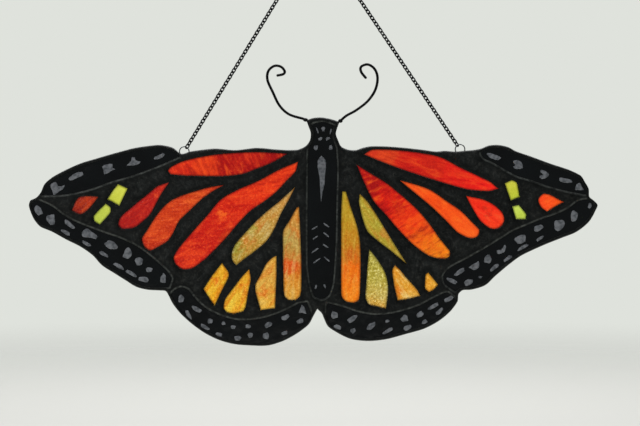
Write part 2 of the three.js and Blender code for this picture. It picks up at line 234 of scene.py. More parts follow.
def flatSolid(outer, holes, rings, grid, heightOf, groove):
    # A plate between the outer loop and the holes. heightOf(points, face) is how far each face stands from
    # the middle plane. groove lists (sideways, height) of the wall's inner turns, from front to back.
    loops = [outer, *holes]
    counts = np.cumsum([0, *(len(loop) for loop in loops)])
    reach = max(rings) * 1.1
    extra = [loop + leftNormals(loop) * ring for loop in loops for ring in rings]
    ringSize = [ring for loop in loops for ring in rings for _ in loop]
    low, high = outer.min(0), outer.max(0)
    rows = np.arange(low[1], high[1], grid * 0.866)
    columns = np.arange(low[0], high[0], grid)
    lattice = np.stack(np.meshgrid(columns, rows), 2)
    lattice[1::2, :, 0] += grid / 2
    lattice = lattice.reshape(-1, 2)
    added = np.concatenate([*extra, lattice])
    needed = np.concatenate([np.array(ringSize) * 0.85, np.full(len(lattice), reach * 0.999)])
    away = np.min([distanceTo(loop, added, reach) for loop in loops], axis=0)
    keep = (away >= needed) & isInside(outer, added)
    for hole in holes:
        keep &= ~isInside(hole, added)
    flatPoints = np.concatenate([*loops, added[keep]])
    borders = [list(range(counts[i], counts[i + 1])) for i in range(len(loops))]
    borders[1:] = [border[::-1] for border in borders[1:]]      # holes run the other way round
    made = delaunay_2d_cdt(flatPoints.tolist(), [], borders, 1, 1e-6, True)
    flatPoints = np.array(made[0])
    solidFaces = [face for face, source in zip(made[2], made[5]) if list(source) == [0]]
    triangles = np.array(solidFaces)
    used, triangles = np.unique(triangles, return_inverse=True)
    triangles = triangles.reshape(-1, 3)
    flatPoints = flatPoints[used]
    corner = flatPoints[triangles]
    spin = np.cross(corner[:, 1] - corner[:, 0], corner[:, 2] - corner[:, 0])
    triangles = np.where(spin[:, None] < 0, triangles[:, ::-1], triangles)

    count = len(flatPoints)
    front, back = heightOf(flatPoints, 0), heightOf(flatPoints, 1)
    starts, ends = boundaryEdges(triangles, count)
    left = np.zeros((count, 2))
    chord = flatPoints[ends] - flatPoints[starts]
    normal = np.stack([-chord[:, 1], chord[:, 0]], 1) / np.linalg.norm(chord, axis=1, keepdims=True)
    np.add.at(left, starts, normal)
    np.add.at(left, ends, normal)
    left /= np.maximum(np.linalg.norm(left, axis=1, keepdims=True), 0.6)
    levels = [lift(flatPoints, -front)]
    levels += [lift(flatPoints + left * sideways, height) for sideways, height in groove]
    levels.append(lift(flatPoints, back))
    faces = [triangles, triangles[:, ::-1] + count * (len(levels) - 1)]
    for level in range(len(levels) - 1):
        near, far = level * count, (level + 1) * count
        faces.append(np.stack([ends + near, starts + near, starts + far, ends + far], 1))
    return tidied(np.concatenate(levels), faces)


def onPanel(point):
    # a point measured from the middle of the body, in the object's frame
    return np.array([point[0] + bodyCentre[0], 0, point[1] + bodyCentre[1]])


def lift(flatPoints, height):
    # points of the plane at a depth along +y
    depth = np.broadcast_to(height, len(flatPoints))
    return np.stack([flatPoints[:, 0], depth, flatPoints[:, 1]], 1)


def tidied(points, faces):
    # drops points that no face uses, and joins those that fall together
    used = np.unique(np.concatenate([block.ravel() for block in faces]))
    merged, place = np.unique(np.round(points[used], 4), axis=0, return_inverse=True)
    renamed = np.zeros(len(points), int)
    renamed[used] = place.ravel()
    return merged, [renamed[block] for block in faces]


def sweptWire(path, side, radius, sides, closed=True):
    # A round wire along a path that lies in one plane. side is that plane's normal, and radius may vary.
    if closed:
        tangent = np.roll(path, -1, 0) - np.roll(path, 1, 0)
    else:
        tangent = np.gradient(path, axis=0)
    tangent /= np.linalg.norm(tangent, axis=1, keepdims=True)
    across = np.cross(tangent, side)
    angle = np.arange(sides) / sides * 2 * np.pi
    spoke = across[:, None] * np.cos(angle)[:, None] + np.asarray(side) * np.sin(angle)[:, None]
    size = np.broadcast_to(radius, len(path))[:, None, None]
    points = (path[:, None] + spoke * size).reshape(-1, 3)
    index = np.arange(len(points)).reshape(len(path), sides)
    onward = np.roll(index, -1, 0) if closed else index[1:]
    here = index if closed else index[:-1]
    quads = np.stack([here, np.roll(here, -1, 1), np.roll(onward, -1, 1), onward], 2).reshape(-1, 4)
    faces = [quads]
    if not closed:
        faces += [index[:1, ::-1], index[-1:]]
    return points, faces


def joined(parts):
    # several (points, faces) as one
    points, faces, count = [], [], 0
    for partPoints, partFaces in parts:
        points.append(partPoints)
        faces += [block + count for block in partFaces]
        count += len(partPoints)
    return np.concatenate(points), faces


def roundBlob(centre, radii, seed):
    # a lumpy drop of solder: a globe whose radius swells and sinks a little
    rows, columns = np.meshgrid(np.linspace(0, np.pi, 14), np.arange(24) / 24 * 2 * np.pi, indexing="ij")
    swell = 1 + 0.06 * np.sin(3 * columns + seed) * np.sin(rows) + 0.05 * np.cos(2 * rows + seed)
    globe = np.stack([
        np.sin(rows) * np.cos(columns), np.sin(rows) * np.sin(columns), np.cos(rows)
    ], 2) * swell[..., None] * np.asarray(radii)
    index = np.arange(rows.size).reshape(rows.shape)
    here, below = index[:-1], index[1:]
    quads = np.stack([here, below, np.roll(below, -1, 1), np.roll(here, -1, 1)], 2).reshape(-1, 4)
    return globe.reshape(-1, 3) + centre, [quads]


# ---- camera ----

view = {"centre": (2.3, -186.9), "width": 430.5, "distance": 950.0, "sensor": 36}
camera = bpy.data.cameras.new("camera")
camera.sensor_width = view["sensor"]
camera.lens = camera.sensor_width * view["distance"] / view["width"]
cameraObject = bpy.data.objects.new("camera", camera)
cameraObject.location = np.array([view["centre"][0], -view["distance"], view["centre"][1]]) * mm
cameraObject.rotation_euler = (np.pi / 2, 0, 0)
bpy.context.scene.collection.objects.link(cameraObject)
bpy.context.scene.camera = cameraObject


# ---- chains ----

# Blackened steel cable chain: drawn wire bent and closed, dark oxide with bright rubbed edges.
chainLook = {
    "grain": 1.111, "noise": {"Detail": 3.0}, "tones": [(0.46, "#0d0f10"), (0.76, "#4c5153")],
    "surface": {"Metallic": 0.9, "Roughness": 0.4},
}
chain = {
    "wire": 0.86, "length": 4.22, "width": 3.1, "turn": 42, "sides": 7, "bendSteps": 10, "routePoints": 40,
    "wingRings": {"left": (-92, 36), "right": (93.5, 37.5)},
    "wingRingRadius": 3.2, "wingRingWire": 0.75, "hangingRingRadius": 6.8, "hangingRingWire": 1.6,
}


def linkPath():
    # a racetrack in the link's own plane: two half circles joined by straight sides
    bend = (chain["width"] - chain["wire"]) / 2
    straight = (chain["length"] - chain["width"]) / 2
    angle = np.linspace(-np.pi / 2, np.pi / 2, chain["bendSteps"])
    top = np.stack([straight + bend * np.cos(angle), bend * np.sin(angle), 0 * angle], 1)
    return np.concatenate([top, -top])


def addChain(side, material):
    # links a pitch apart on the straight line from the wing's ring to the top one, turned to and fro
    low = onPanel(chain["wingRings"][side])
    full = np.linalg.norm(low)
    up = -low / full
    first = chain["wingRingRadius"] + chain["length"] / 2 - chain["wire"] - chain["wingRingWire"] / 2
    last = full - chain["hangingRingRadius"] - chain["length"] / 2 + chain["wire"]
    last += chain["hangingRingWire"] / 2
    pitch = chain["length"] - 2 * chain["wire"]
    count = round((last - first) / pitch) + 1
    middles = low + up * np.linspace(first, last, count)[:, None]
    ringPoints, ringFaces = sweptWire(linkPath(), (0, 0, 1), chain["wire"] / 2, chain["sides"])
    towardViewer = np.array([0, -1.0, 0])
    across = np.cross(up, towardViewer)
    parts = []
    for i, middle in enumerate(middles):
        turn = np.radians(chain["turn"] if i % 2 else -chain["turn"])
        broad = across * np.cos(turn) + towardViewer * np.sin(turn)
        thin = np.cross(up, broad)
        parts.append((middle + ringPoints @ np.stack([up, broad, thin]), ringFaces))
    points, faces = joined(parts)
    piece = makePiece(side + "_chain_links", points, faces, material, "chain_steel", [side + "_chain"])
    return count


chainSteel = mottledFinish("blackened_steel_wire", chainLook)
for side in ("left", "right"):
    print(side, "chain:", addChain(side, chainSteel), "links")


# ---- outlines from the solder web ----

outlineSteps = {"edge": 1.1, "opening": 1.0}
webLoops = frontLoops("solder_web")
outline = smoothLoop(webLoops[0], outlineSteps["edge"])
openings = [smoothLoop(loop, outlineSteps["opening"]) for loop in webLoops[1:]]
print("outline and", len(openings), "openings")


# ---- solder ----

# Tin-lead solder under a black patina: hand run and ground level, so it is satin, with a grey haze on the
# wide flats, smears where the patina was wiped, and a painted highlight: a pale line along the crest of the
# beads beside the black glass, standing in for the light that the crest catches.
solderLook = {
    # the palest colour here is a painted highlight for the bead crests
    "dark": "#151817", "black": "#222524", "haze": "#3e4140", "crestHighlight": "#80847f", "speck": "#54524c",
    "wipe": "#72706a", "metallic": 0.7, "smooth": 0.36, "dull": 0.6,
    "cloud": 18.18, "smear": 8.333, "swirl": 13.333, "grain": 1.613, "graining": (0.35, 0.4),   # mm
}
bead = {
    "seat": 1.52, "crest": 1.05, "width": 2.3, "rimCrest": 2.6, "rimWidth": 2.0, "blend": 0.3,
    "lumps": [(11, 0.1, 3), (4, 0.04, 5)], "sunk": 0.05,
    # the first two here place the painted highlight on the crest: its way in mm from a black glass and its
    # half width
    "highlightAt": 0.8, "highlightHalf": 0.7, "flatFrom": 1.5, "flatOver": 4,
}
web = {"rings": (0.15, 0.5, 1.0, 1.7), "grid": 1.5, "groove": [(0.55, -1.6), (0.55, 1.6)]}


def patinatedSolder():
    material, tree, shader, place = newMaterial("patinated_solder")
    cloud = addNode(tree, "TexNoise", {
        "Vector": place, "Scale": 1 / (solderLook["cloud"] * mm), "Detail": 7.0, "Roughness": 0.65,
        "Distortion": 1.2})
    smear = addNode(tree, "TexNoise", {
        "Vector": place, "Scale": 1 / (solderLook["smear"] * mm), "Detail": 5.0, "Roughness": 0.7,
        "Distortion": 2.2})
    grain = addNode(tree, "TexNoise", {
        "Vector": place, "Scale": 1 / (solderLook["grain"] * mm), "Detail": 3.0})
    swirl = addNode(tree, "TexNoise", {
        "Vector": place, "Scale": 1 / (solderLook["swirl"] * mm), "Detail": 3.0, "Roughness": 0.6,
        "Distortion": 3.5})
    level = addNode(tree, "Attribute", attribute_name="level").outputs["Fac"]
    crest = addNode(tree, "Attribute", attribute_name="crest").outputs["Fac"]

    tone = addNode(tree, "ValToRGB", {"Fac": cloud}, stops=[
        (0.36, solderLook["dark"]), (0.62, solderLook["black"])])
    wiped = addNode(tree, "MapRange", {
        "Value": smear, "From Min": 0.44, "From Max": 0.66, "To Min": 0.15})
    hazed = addNode(tree, "Math", {0: level, 1: wiped}, operation="MULTIPLY")
    colour = addNode(tree, "Mix", {0: hazed, 6: tone, 7: solderLook["haze"]}, data_type="RGBA")
    specks = addNode(tree, "MapRange", {
        "Value": grain, "From Min": 0.52, "From Max": 0.75, "To Max": 0.35})
    colour = addNode(tree, "Mix", {0: specks, 6: colour, 7: solderLook["speck"]}, data_type="RGBA")
    # hairline wipes: where the swirled noise passes through its middle value
    offMiddle = addNode(tree, "Math", {0: swirl, 1: 0.5}, operation="SUBTRACT")
    offMiddle = addNode(tree, "Math", {0: offMiddle}, operation="ABSOLUTE")
    hairline = addNode(tree, "MapRange", {
        "Value": offMiddle, "From Max": 0.035, "To Min": 0.5, "To Max": 0.0})
    wipe = addNode(tree, "Math", {0: hairline, 1: hazed}, operation="MULTIPLY")
    colour = addNode(tree, "Mix", {0: wipe, 6: colour, 7: solderLook["wipe"]}, data_type="RGBA")
    # painted highlight on the crests of the black glasses' beads, patchy along its length
    uneven = addNode(tree, "MapRange", {
        "Value": smear, "From Min": 0.4, "From Max": 0.62, "To Min": 0.15, "To Max": 0.95})
    crestHighlight = addNode(tree, "Math", {0: crest, 1: uneven}, operation="MULTIPLY")
    colour = addNode(tree, "Mix", {0: crestHighlight, 6: colour, 7: solderLook["crestHighlight"]}, data_type="RGBA")
    sheen = addNode(tree, "MapRange", {
        "Value": cloud, "From Min": 0.3, "From Max": 0.7,
        "To Min": solderLook["smooth"], "To Max": solderLook["dull"]})
    strength, depth = solderLook["graining"]
    relief = addNode(tree, "Bump", {"Height": grain, "Strength": strength, "Distance": depth * mm})
    feed(tree, shader, {
        "Base Color": colour, "Roughness": sheen, "Normal": relief, "Metallic": solderLook["metallic"]})
    return material


def roundedRise(away, width):
    # a quarter ellipse: steep at the edge and level at the width
    return np.sqrt(1 - (1 - np.clip(away / width, 0, 1)) ** 2)


def beadHeight(points, face):
    # a rise over the glass and one over the rim, the lower of them taken with a soft minimum, and lumps
    inner = np.min([distanceTo(loop, points, bead["width"]) for loop in openings], axis=0)
    outer = distanceTo(outline, points, bead["rimWidth"])
    overGlass = bead["seat"] + bead["crest"] * roundedRise(inner, bead["width"])
    overRim = bead["rimCrest"] * roundedRise(outer, bead["rimWidth"])
    blend = bead["blend"]
    lower = -blend * np.log(np.exp(-overGlass / blend) + np.exp(-overRim / blend))
    height = np.where(outer < 1e-4, 0, np.minimum(lower, overRim))
    level = np.clip(inner / bead["width"], 0, 1) * np.clip(outer / bead["rimWidth"], 0, 1)
    lumps = sum(amount * ripple(points, wavelength, seed + face)
                for wavelength, amount, seed in bead["lumps"])
    return np.maximum(height + level * (lumps - bead["sunk"]), np.minimum(height, bead["seat"]))


def solderMarks(points):
    # level: 0 by the glass to 1 on the wide flats. crest: 1 along the beads of the black glasses, where a
    # painted highlight stands for the light caught on the bead's crest.
    flat = points[:, [0, 2]]
    away = np.min([distanceTo(loop, flat, 6.0) for loop in openings], axis=0)
    byBlack = np.min([distanceTo(loop, flat, 3.0) for loop in blackOpenings()], axis=0)
    fromEdge = distanceTo(outline, flat, 3.0)
    # a band of painted highlight along the beads of the black glasses, kept off the outer rim
    highlightBand = np.clip(1 - np.abs(byBlack - bead["highlightAt"]) / bead["highlightHalf"], 0, 1)
    return {"level": np.clip((away - bead["flatFrom"]) / bead["flatOver"], 0, 1),
            "crest": highlightBand * np.clip(fromEdge - bead["rimWidth"], 0, 1)}


def blackOpenings():
    return [nearestOpening(nodeName) for nodeName in [*borders, "body_glass"]]


def nearestOpening(nodeName):
    # the opening whose box is the glass's own box less the hidden edge
    low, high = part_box(nodeName)
    box = np.array([low.x, low.z, high.x, high.z]) / mm
    boxes = np.array([[*loop.min(0), *loop.max(0)] for loop in openings])
    return openings[np.abs(boxes - box).sum(1).argmin()]


borders = [
    "left_forewing_top_border_glass", "left_forewing_side_border_glass", "left_hindwing_border_glass",
    "right_hindwing_border_glass", "right_forewing_side_border_glass", "right_forewing_top_border_glass",
]
solder = patinatedSolder()
webSolid = flatSolid(outline, openings, web["rings"], web["grid"], beadHeight, web["groove"])
makePiece("solder_seams", *webSolid, solder, "solder", ["solder_web"], solderMarks(webSolid[0]))
print("solder web:", len(webSolid[0]), "points")


# ---- glass ----

# Hand-rolled art glass: streaks pulled through it while hot, a rippled face, small seeds and flecks.
# heading is the way the colours run, in degrees from +x. A streak is its pale and deep colours, strength,
# direction and width in mm. A patch is x, z, radius in mm from the body, its colour and strength. A fleck
# is its colour and strength. Grain is how far the seeds darken and lighten it.
crimson, red, orange, lime = "crimson_glass", "red_glass", "orange_glass", "lime_glass"
amber, olive = "amber_glass", "olive_gold_glass"
cells = {
    "left_forewing_top_red_glass": {
        "slot": crimson, "heading": 0,
        "along": [(0, "#ec3616"), (0.2, "#d42410"), (0.5, "#ac0a0a"), (1, "#a4080a")],
        "streak": ("#f6561c", "#8e0406", 0.85, -66, 1.8), "grain": 0.3, "fleck": ("#f4602a", 0.25),
        "patches": [(-78, 26, 11, "#f04414", 0.7), (-49, 33, 9, "#d82a16", 0.6)]},
    "left_forewing_crimson_glass": {
        "slot": crimson, "heading": 50, "along": [(0, "#a81412"), (0.5, "#b41612"), (1, "#c02414")],
        "streak": ("#dc3a20", "#8e0c0c", 0.6, 35, 1.8), "grain": 0.4, "fleck": ("#f07040", 0.3),
        "patches": [(-109, 7, 2.4, "#e85020", 0.8)]},
    "left_forewing_orange_red_glass": {
        "slot": red, "heading": 50, "along": [(0, "#c42e10"), (0.4, "#d03a10"), (1, "#cc3010")],
        "streak": ("#f8682a", "#b02008", 0.85, 4, 1.3), "grain": 0.4, "fleck": ("#fa8444", 0.45),
        "patches": [(-112, -17, 8, "#e04a18", 0.5), (-84, 3, 9, "#c8400e", 0.6)]},
    "left_forewing_long_red_glass": {
        "slot": red, "heading": 48,
        "along": [(0, "#d22412"), (0.25, "#c8160c"), (0.6, "#da240c"), (1, "#e83810")],
        "streak": ("#fa5420", "#a80a08", 0.75, 14, 2.0), "grain": 0.45, "fleck": ("#fb7430", 0.5),
        "patches": [(-67, -7, 3.4, "#ff6a20", 0.85), (-88, -34, 9, "#e83c16", 0.6),
                    (-60, -22, 8, "#cc3a10", 0.7), (-40, 10, 12, "#ee3810", 0.6)]},
    "left_forewing_tip_red_glass": {
        "slot": crimson, "heading": 25, "along": [(0, "#8c160a"), (0.5, "#9c220a"), (1, "#a42a0a")],
        "streak": ("#d44c1e", "#6c0806", 0.8, 40, 1.4), "grain": 0.45, "fleck": ("#f08048", 0.4),
        "patches": [(-153, 2, 4, "#bc3010", 0.5)]},
    "left_forewing_upper_lime_glass": {
        "slot": lime, "heading": 30, "along": [(0, "#c2c83c"), (1, "#d4d64a")],
        "streak": ("#e2e668", "#b4bc34", 0.45, 60, 2.6), "grain": 0.12, "fleck": ("#e8ec80", 0.2)},
    "left_forewing_lower_lime_glass": {
        "slot": lime, "heading": 30, "along": [(0, "#b8c846"), (1, "#cad252")],
        "streak": ("#e0e87c", "#aebc3c", 0.45, 60, 2.6), "grain": 0.12, "fleck": ("#e4ec84", 0.2)},
    "left_hindwing_gold_leaf_glass": {
        "slot": olive, "heading": 52,
        "along": [(0, "#b4942c"), (0.35, "#bc9636"), (0.7, "#c89440"), (1, "#cc9646")],
        "streak": ("#d8c080", "#cc6a1e", 0.8, 50, 1.7), "grain": 0.7, "fleck": ("#f0e4b0", 0.55),
        "patches": [(-57, -29, 6, "#94942a", 0.9), (-47, -14, 5, "#a0a838", 0.8),
                    (-43, -12, 5, "#d07c28", 0.6), (-50, -24, 4, "#d87c20", 0.6)]},
    "left_hindwing_inner_gold_glass": {
        "slot": amber, "heading": 90, "along": [
            (0, "#e0a436"), (0.16, "#dc9224"), (0.34, "#d86c12"), (0.55, "#b89440"), (0.78, "#c08a34"),
            (1, "#dc8424")],
        "streak": ("#e8c070", "#c85810", 0.75, 84, 1.5), "grain": 0.55, "fleck": ("#f4d890", 0.4),
        "patches": [(-21, -41, 6, "#e24c0c", 0.95), (-17, -20, 5, "#d4701c", 0.7),
                    (-22, -22, 6, "#b0a050", 0.7)]},
    "left_hindwing_outer_amber_glass": {
        "slot": amber, "heading": 70, "along": [(0, "#f0a80e"), (1, "#e8a018")],
        "streak": ("#f4d040", "#dc6a0c", 0.85, 56, 1.6), "grain": 0.6, "fleck": ("#fae070", 0.5),
        "patches": [(-71, -52, 4, "#e87014", 0.8)]},
    "left_hindwing_middle_amber_glass": {
        "slot": amber, "heading": 70, "along": [(0, "#f2b020"), (1, "#e89c18")],
        "streak": ("#f4d044", "#dc680c", 0.85, 60, 1.6), "grain": 0.65, "fleck": ("#fae478", 0.5),
        "patches": [(-53, -56, 4, "#e4700e", 0.7), (-58, -64, 5, "#eeb42c", 0.6)]},
    "left_hindwing_inner_amber_glass": {
        "slot": amber, "heading": 90, "along": [(0, "#f0b02a"), (0.5, "#dca03a"), (1, "#e4a030")],
        "streak": ("#ecc25c", "#dc6a10", 0.85, 45, 1.6), "grain": 0.6, "fleck": ("#f6dc8c", 0.45),
        "patches": [(-38, -59, 4, "#e06c10", 0.8), (-35, -42, 5, "#d88c30", 0.6)]},
    "right_forewing_top_red_glass": {
        "slot": red, "heading": -16,
        "along": [(0, "#d8381a"), (0.3, "#cc180e"), (0.7, "#e01610"), (1, "#fa1e14")],
        "streak": ("#f4501c", "#a60c08", 0.7, -13, 1.5), "grain": 0.2, "fleck": ("#f46a34", 0.2),
        "patches": [(74, 25, 12, "#c8240e", 0.5), (44, 33, 8, "#e04a1c", 0.6)]},
    "right_forewing_long_red_glass": {
        "slot": red, "heading": -48, "along": [
            (0, "#bc0c12"), (0.2, "#b00a0c"), (0.4, "#dc180c"), (0.62, "#f03a0c"), (0.78, "#f4680e"),
            (1, "#fa9414")],
        "streak": ("#ff6014", "#940406", 0.9, 30, 1.7), "grain": 0.2, "fleck": ("#f86a24", 0.2),
        "patches": [(52, -2, 5, "#b40c08", 0.7), (73, -16, 5, "#bc1408", 0.6),
                    (34, 12, 8, "#a20a0e", 0.6)]},
    "right_forewing_orange_glass": {
        "slot": orange, "heading": -40, "along": [(0, "#fc5c1a"), (0.4, "#fc4e0c"), (1, "#fe5e18")],
        "streak": ("#ff7c24", "#dc3808", 0.55, -38, 2.0), "grain": 0.2, "fleck": ("#fc8a3a", 0.2),
        "patches": [(80, 2, 4, "#e43c0c", 0.5)]},
    "right_forewing_small_red_glass": {
        "slot": red, "heading": -60, "along": [(0, "#fa3014"), (0.5, "#fa2812"), (1, "#fc4018")],
        "streak": ("#ff6430", "#dc200e", 0.6, -30, 1.8), "grain": 0.25, "fleck": ("#f87440", 0.2),
        "patches": [(112, -4, 3, "#b8200e", 0.7)]},
    "right_forewing_upper_lime_glass": {
        "slot": lime, "heading": 90, "along": [(0, "#bcc634"), (1, "#ccc83e")],
        "streak": ("#dce05c", "#acb42c", 0.45, 20, 2.6), "grain": 0.12, "fleck": ("#e4e874", 0.2)},
    "right_forewing_lower_lime_glass": {
        "slot": lime, "heading": 90, "along": [(0, "#bed048"), (1, "#cade56")],
        "streak": ("#def080", "#aebe3e", 0.45, 20, 2.6), "grain": 0.12, "fleck": ("#e6f088", 0.2)},
    "right_forewing_tip_orange_glass": {
        "slot": orange, "heading": 0, "along": [(0, "#ff4418"), (1, "#ff5c12")],
        "streak": ("#ff7c2c", "#dc3008", 0.6, 30, 1.8), "grain": 0.2, "fleck": ("#fc9040", 0.25)},
    "right_hindwing_inner_gold_glass": {
        "slot": amber, "heading": -90, "along": [
            (0, "#b49e24"), (0.3, "#bc901a"), (0.52, "#c47812"), (0.68, "#f46c06"), (1, "#fc860c")],
        "streak": ("#e0b84c", "#c45c10", 0.6, 86, 1.6), "grain": 0.4, "fleck": ("#eed070", 0.3),
        "patches": [(20, -34, 6, "#c86414", 0.8), (18, -44, 5, "#e86a0c", 0.6)]},
    "right_hindwing_narrow_olive_glass": {
        "slot": olive, "heading": 0, "along": [(0, "#b4a02c"), (0.6, "#ae9a2a"), (1, "#bc902c")],
        "streak": ("#ccb850", "#c47a24", 0.7, -54, 1.5), "grain": 0.55, "fleck": ("#e8dc88", 0.35),
        "patches": [(45, -19, 5, "#c8802c", 0.8), (38, -14, 4, "#a8a030", 0.6)]},
    "right_hindwing_olive_glass": {
        "slot": olive, "heading": -90, "along": [
            (0, "#b2a634"), (0.5, "#bcaa3c"), (0.8, "#d0b04a"), (1, "#e8a434")],
        "streak": ("#d8ca78", "#a08a28", 0.5, 70, 1.6), "grain": 0.95, "fleck": ("#fcf6c0", 0.95),
        "patches": [(45, -62, 7, "#ccb058", 0.5)]},
    "right_hindwing_orange_glass": {
        "slot": amber, "heading": 0, "along": [(0, "#e8981a"), (0.5, "#e8a428"), (1, "#e4a22c")],
        "streak": ("#f4dc90", "#d4720e", 0.85, -52, 1.6), "grain": 0.6, "fleck": ("#fcecb0", 0.45),
        "patches": [(51, -60, 6, "#e87c10", 0.8)]},
    "right_hindwing_small_amber_glass": {
        "slot": amber, "heading": 0, "along": [(0, "#ec9e1e"), (1, "#eaaa28")],
        "streak": ("#f6d480", "#d8780e", 0.8, 40, 1.5), "grain": 0.55, "fleck": ("#fbe6a0", 0.4)},
}

# What every glass shares, in mm: the sheet, the noises' sizes, how far they move a colour or a patch's edge,
# how far a patch fades (as shares of its radius), and the painted shade that darkens the glass beside a
# bead.
sheet = {
    "half": 1.5, "under": 0.45, "grid": 1.7, "rings": (0.45, 1.0, 1.7), "inset": 0.04,
    "waves": [(14, 0.03, 0), (5, 0.02, 50)],
}
artLook = {
    "drift": 6.667, "ragged": 0.6, "stray": 22, "patchFade": (0.4, 1.15), "streakLength": 15.0,
    "streakWaves": 2.2, "seeds": 1.5625, "shadeWidth": 1.5, "shadeDarkest": 0.35, "rolled": (0.5, 0.4), "seeded": 0.2,
    "surface": {"Transmission Weight": 1.0, "IOR": 1.52, "Roughness": 0.16},
}


def artGlass(name, cell, loop):
    material, tree, shader, place = newMaterial(name + "_colour")
    heading = np.radians(cell["heading"])
    toward = np.array([np.cos(heading), np.sin(heading)])
    reach = loop @ toward
    drift = addNode(tree, "TexNoise", {
        "Vector": place, "Scale": 1 / (artLook["drift"] * mm), "Detail": 5.0, "Roughness": 0.62,
        "Distortion": 0.8})
    flow = addNode(tree, "VectorMath", {0: place, 1: (toward[0], 0, toward[1])}, operation="DOT_PRODUCT")
    share = addNode(tree, "MapRange", {
        "Value": flow, "From Min": reach.min() * mm, "From Max": reach.max() * mm})
    ragged = addNode(tree, "Math", {
        0: drift, 1: artLook["ragged"], 2: -artLook["ragged"] / 2}, operation="MULTIPLY_ADD")
    torn = addNode(tree, "Math", {0: share, 1: ragged}, operation="ADD")
    colour = addNode(tree, "ValToRGB", {"Fac": torn}, stops=cell["along"])

    # patches: a round spot whose edge is moved about by the noise
    level = addNode(tree, "VectorMath", {0: place, 1: (1, 0, 1)}, operation="MULTIPLY")
    stray = np.array([artLook["stray"], 0, artLook["stray"]]) * mm
    wander = addNode(tree, "VectorMath", {
        0: drift.outputs["Color"], 1: stray.tolist(), 2: (-stray / 2).tolist()}, operation="MULTIPLY_ADD")
    moved = addNode(tree, "VectorMath", {0: level, 1: wander})
    for x, z, radius, patchColour, amount in cell.get("patches", []):
        gap = addNode(tree, "VectorMath", {
            0: moved, 1: (onPanel((x, z)) * mm).tolist()}, operation="DISTANCE")
        full, gone = np.array(artLook["patchFade"]) * radius * mm
        spot = addNode(tree, "MapRange", {
            "Value": gap, "From Min": full, "From Max": gone, "To Min": amount, "To Max": 0.0},
            interpolation_type="SMOOTHSTEP")
        colour = addNode(tree, "Mix", {0: spot, 6: colour, 7: patchColour}, data_type="RGBA")

    pale, deep, strength, angle, width = cell["streak"]
    pulled = addNode(tree, "Mapping", {
        "Vector": place, "Rotation": (0, np.radians(angle), 0)}, vector_type="POINT")
    along, across = 1 / (artLook["streakLength"] * mm), 1 / (width * artLook["streakWaves"] * mm)
    stretched = addNode(tree, "Mapping", {"Vector": pulled, "Scale": (along, along, across)})
    wisps = addNode(tree, "TexNoise", {
        "Vector": stretched, "Scale": 1.0, "Detail": 5.0, "Roughness": 0.66, "Distortion": 0.6})
    for tint, start, end in ((pale, 0.5, 0.7), (deep, 0.5, 0.32)):
        streaked = addNode(tree, "MapRange", {
            "Value": wisps, "From Min": start, "From Max": end, "To Max": strength})
        colour = addNode(tree, "Mix", {0: streaked, 6: colour, 7: tint}, data_type="RGBA")

    seeds = addNode(tree, "TexNoise", {
        "Vector": place, "Scale": 1 / (artLook["seeds"] * mm), "Detail": 2.0, "Roughness": 0.7})
    fleckColour, fleckStrength = cell["fleck"]
    flecks = addNode(tree, "MapRange", {
        "Value": seeds, "From Min": 0.54, "From Max": 0.72, "To Max": fleckStrength})
    colour = addNode(tree, "Mix", {0: flecks, 6: colour, 7: fleckColour}, data_type="RGBA")
    # painted shade: the glass darkens towards the solder at its edge
    beside = addNode(tree, "Attribute", attribute_name="inward").outputs["Fac"]
    shade = addNode(tree, "MapRange", {
        "Value": beside, "From Max": artLook["shadeWidth"], "To Min": artLook["shadeDarkest"]},
        interpolation_type="SMOOTHSTEP")
    grain = addNode(tree, "MapRange", {
        "Value": seeds, "From Min": 0.32, "From Max": 0.68,
        "To Min": 1 - 0.5 * cell["grain"], "To Max": 1 + 0.4 * cell["grain"]})
    whole = addNode(tree, "Math", {0: grain, 1: shade}, operation="MULTIPLY")
    colour = addNode(tree, "VectorMath", {0: colour, 1: whole}, operation="MULTIPLY")

    strength, depth = artLook["rolled"]
    rolled = addNode(tree, "Bump", {"Height": wisps, "Strength": strength, "Distance": depth * mm})
    seeded = addNode(tree, "Bump", {
        "Height": seeds, "Strength": 0.15 + 0.5 * cell["grain"], "Distance": artLook["seeded"] * mm,
        "Normal": rolled})
    feed(tree, shader, {"Base Color": colour, "Normal": seeded, **artLook["surface"]})
    return material


# Opaque black sheet glass: fire-polished, so it mirrors, with a faint blue-green body colour.
blackLook = {
    "grain": 22.22, "noise": {"Detail": 5.0, "Distortion": 0.6},
    "tones": [(0.35, "#040606"), (0.7, "#0d1213")], "relief": (0.25, 1.0),
    "surface": {"Roughness": 0.12, "IOR": 1.52},
}


def sheetHeight(seed):
    # half the sheet's thickness and two ripples of the rolled face
    def heightOf(points, face):
        waves = [amount * ripple(points, wavelength, seed + step + face)
                 for wavelength, amount, step in sheet["waves"]]
        return sheet["half"] - sheet["inset"] + waves[0] + waves[1]
    return heightOf


def addGlass(nodeName, material, slot, seed):
    # a sheet that reaches a little under the solder all round its opening, marked with its way in from there
    opening = nearestOpening(nodeName)
    edge = (opening + leftNormals(opening) * sheet["under"])[::-1]
    solid = flatSolid(edge, [], sheet["rings"], sheet["grid"], sheetHeight(seed), [])
    inward = distanceTo(opening, solid[0][:, [0, 2]], 3.0)
    makePiece(nodeName.replace("_glass", "_sheet"), *solid, material, slot, [nodeName], {"inward": inward})
    return len(solid[0])


total = 0
for seed, (nodeName, cell) in enumerate(cells.items()):
    glass = artGlass(nodeName.replace("_glass", ""), cell, nearestOpening(nodeName))
    total += addGlass(nodeName, glass, cell["slot"], seed * 7)
black = mottledFinish("black_sheet_glass", blackLook)
for seed, nodeName in enumerate([*borders, "body_glass"]):
    total += addGlass(nodeName, black, "black_glass", 400 + seed * 7)
print("glass:", total, "points")


